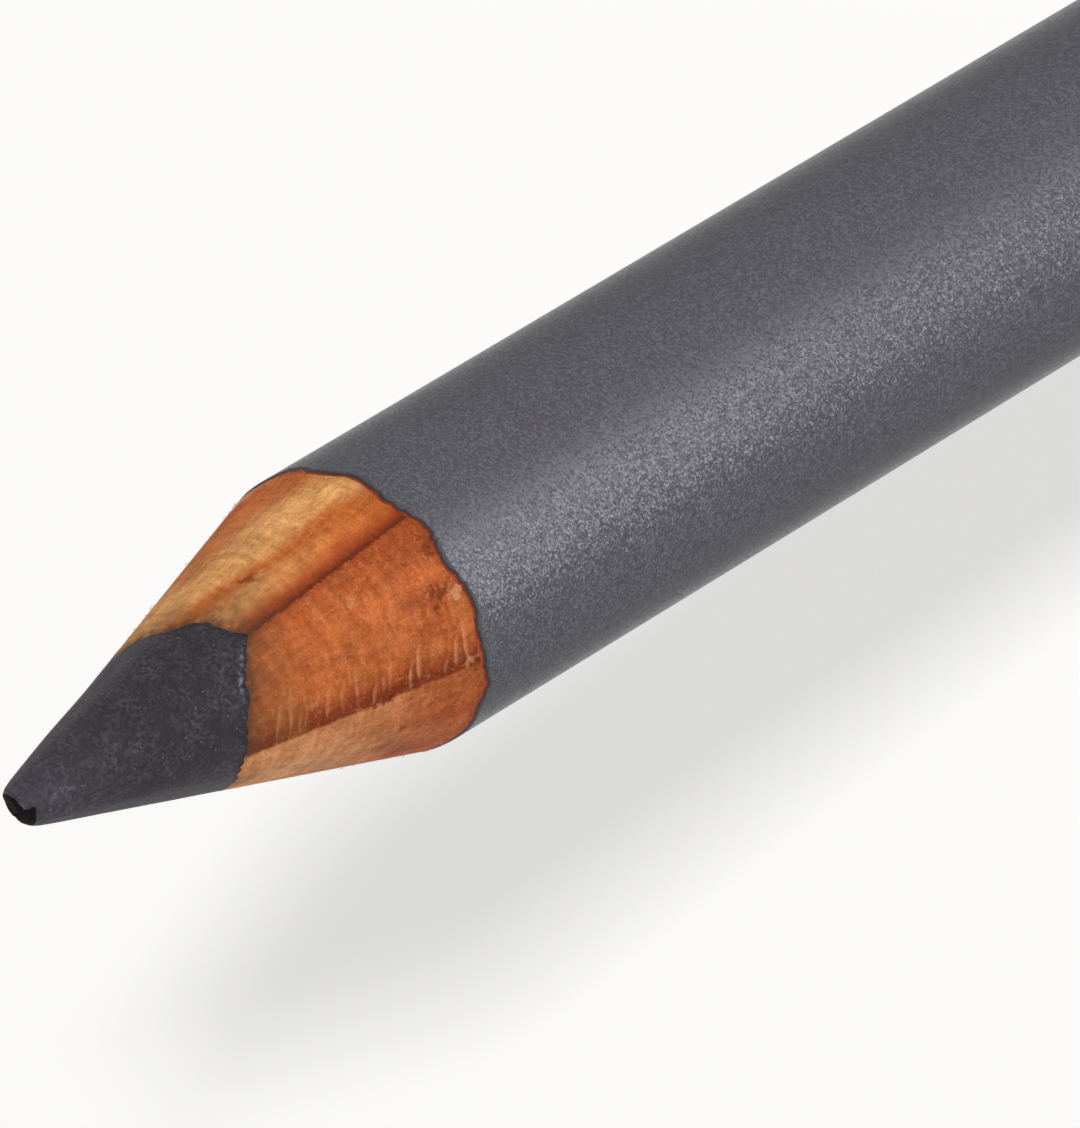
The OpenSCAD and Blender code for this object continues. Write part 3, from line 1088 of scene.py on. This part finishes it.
def camera_axes():
    """The camera's right, up and back directions."""
    back = Vector((math.cos(VIEW_RISE) * math.cos(VIEW_TURN), math.cos(VIEW_RISE) * math.sin(VIEW_TURN),
                   math.sin(VIEW_RISE)))
    level = Vector((-math.sin(VIEW_TURN), math.cos(VIEW_TURN), 0))
    above = back.cross(level)
    right = level * math.cos(VIEW_ROLL) + above * math.sin(VIEW_ROLL)
    return right, back.cross(right), back


def make_camera(aim):
    """Camera at the photograph's viewing angle."""
    right, up, back = camera_axes()
    pixels = LENS_MM / SENSOR_MM * PHOTO_H
    aside = (AIM_PIXEL[0] - PHOTO_W / 2) / pixels * VIEW_DISTANCE
    below = (AIM_PIXEL[1] - PHOTO_H / 2) / pixels * VIEW_DISTANCE
    place = aim - right * aside + up * below + back * VIEW_DISTANCE
    data = bpy.data.cameras.new("camera")
    data.sensor_width = SENSOR_MM
    data.lens = LENS_MM
    data.clip_start = 0.01
    data.clip_end = 10
    camera = bpy.data.objects.new("camera", data)
    axes = Matrix((right, up, back)).transposed().to_4x4()
    camera.matrix_world = Matrix.Translation(place) @ axes
    bpy.context.scene.collection.objects.link(camera)
    bpy.context.scene.camera = camera


def make_lamp(name, place, aim, size, level):
    """A softbox at a place that faces aim, and lights a surface there as a world of strength level does."""
    away = place - aim
    data = bpy.data.lights.new(name, "AREA")
    data.shape = "RECTANGLE"
    data.size, data.size_y = size
    data.energy = level * (math.pi * away.length) ** 2
    lamp = bpy.data.objects.new(name, data)
    facing = away.to_track_quat("Z", "Y").to_matrix().to_4x4()
    lamp.matrix_world = Matrix.Translation(place) @ facing
    lamp.visible_camera = False
    bpy.context.scene.collection.objects.link(lamp)


def seen_white(tree):
    """1 for camera, glossy and transmission rays, which see the white studio."""
    path = add_node(tree, "ShaderNodeLightPath").outputs
    first = add_node(tree, "ShaderNodeMath", {"operation": "MAXIMUM"}, {
        0: path["Is Camera Ray"], 1: path["Is Glossy Ray"]})
    return add_node(tree, "ShaderNodeMath", {"operation": "MAXIMUM"}, {
        0: first, 1: path["Is Transmission Ray"]})


def make_world():
    """Even pale light from all round, which a camera or a mirror sees as white."""
    world = bpy.data.worlds.new("studio")
    tree = empty_tree(world)
    strength = add_node(tree, "ShaderNodeMapRange", inputs={
        "Value": seen_white(tree), "To Min": WORLD_LEVEL, "To Max": 1.0})
    light = add_node(tree, "ShaderNodeBackground", inputs={
        "Color": linear("ffffff"), "Strength": strength})
    add_node(tree, "ShaderNodeOutputWorld", inputs={"Surface": light})
    bpy.context.scene.world = world


def make_floor(colours):
    """Wide matt white floor under the pencil."""
    material = bpy.data.materials.new("white_floor")
    tree = empty_tree(material)
    matt = add_node(tree, "ShaderNodeBsdfDiffuse", inputs={"Color": linear("f2f1ef")})
    glow = add_node(tree, "ShaderNodeEmission", inputs={"Color": colours.floor, "Strength": FLOOR_GLOW})
    lifted = add_node(tree, "ShaderNodeAddShader", inputs={0: matt, 1: glow})
    shown = add_node(tree, "ShaderNodeMixShader", inputs={0: seen_white(tree), 1: matt, 2: lifted})
    add_node(tree, "ShaderNodeOutputMaterial", inputs={"Surface": shown})
    mesh = bpy.data.meshes.new("floor")
    disc = bmesh.new()
    bmesh.ops.create_circle(disc, cap_ends=True, segments=96, radius=FLOOR_R)
    disc.to_mesh(mesh)
    disc.free()
    mesh.materials.append(material)
    floor = bpy.data.objects.new("floor", mesh)
    bpy.context.scene.collection.objects.link(floor)


class PENCIL_OT_stage(bpy.types.Operator):
    """Sets up the floor, the lamps, the world and the camera"""

    bl_idname = "pencil.stage"
    bl_label = "Studio"

    def execute(self, context):
        cut = Cut(context.scene.pencil_sizes)
        aim = Vector((0, 0, cut.apex_z - AIM_BELOW_APEX))
        make_camera(aim)
        make_world()
        make_floor(context.scene.pencil_colours)
        right, up, back = camera_axes()
        over = back + up * math.tan(KEY_ABOVE)
        make_lamp("key_softbox", aim + over * KEY_DISTANCE, aim, (KEY_SIZE, KEY_SIZE), KEY_LEVEL)
        low = heading(LOW_TURN) * LOW_DISTANCE
        low.z = LOW_HEIGHT / 2
        make_lamp("low_softbox", low, aim, (LOW_WIDTH, LOW_HEIGHT), LOW_LEVEL)
        context.scene.view_settings.view_transform = "Standard"
        return {"FINISHED"}


class PENCIL_PT_panel(bpy.types.Panel):
    """Lists the pencil's pieces, sizes and colours"""

    bl_idname = "PENCIL_PT_panel"
    bl_label = "Eyeliner Pencil"
    bl_space_type = "VIEW_3D"
    bl_region_type = "UI"
    bl_category = "Pencil"

    def draw(self, context):
        for operator in OPERATORS:
            self.layout.operator(operator.bl_idname)
        for group in (context.scene.pencil_sizes, context.scene.pencil_colours):
            box = self.layout.box()
            for name in group.bl_rna.properties.keys():
                if name not in ("rna_type", "name"):
                    box.prop(group, name)


OPERATORS = (PENCIL_OT_core, PENCIL_OT_slats, PENCIL_OT_lacquer, PENCIL_OT_fibres, PENCIL_OT_stage)
CLASSES = (PencilSizes, PencilColours, *OPERATORS, PENCIL_PT_panel)


def register():
    for cls in CLASSES:
        bpy.utils.register_class(cls)
    bpy.types.Scene.pencil_sizes = PointerProperty(type=PencilSizes)
    bpy.types.Scene.pencil_colours = PointerProperty(type=PencilColours)


def unregister():
    del bpy.types.Scene.pencil_colours
    del bpy.types.Scene.pencil_sizes
    for cls in reversed(CLASSES):
        bpy.utils.unregister_class(cls)


def main():
    register()
    bpy.ops.pencil.core()
    bpy.ops.pencil.slats()
    bpy.ops.pencil.lacquer()
    bpy.ops.pencil.fibres()
    bpy.ops.pencil.stage()


if __name__ == "__main__":
    main()
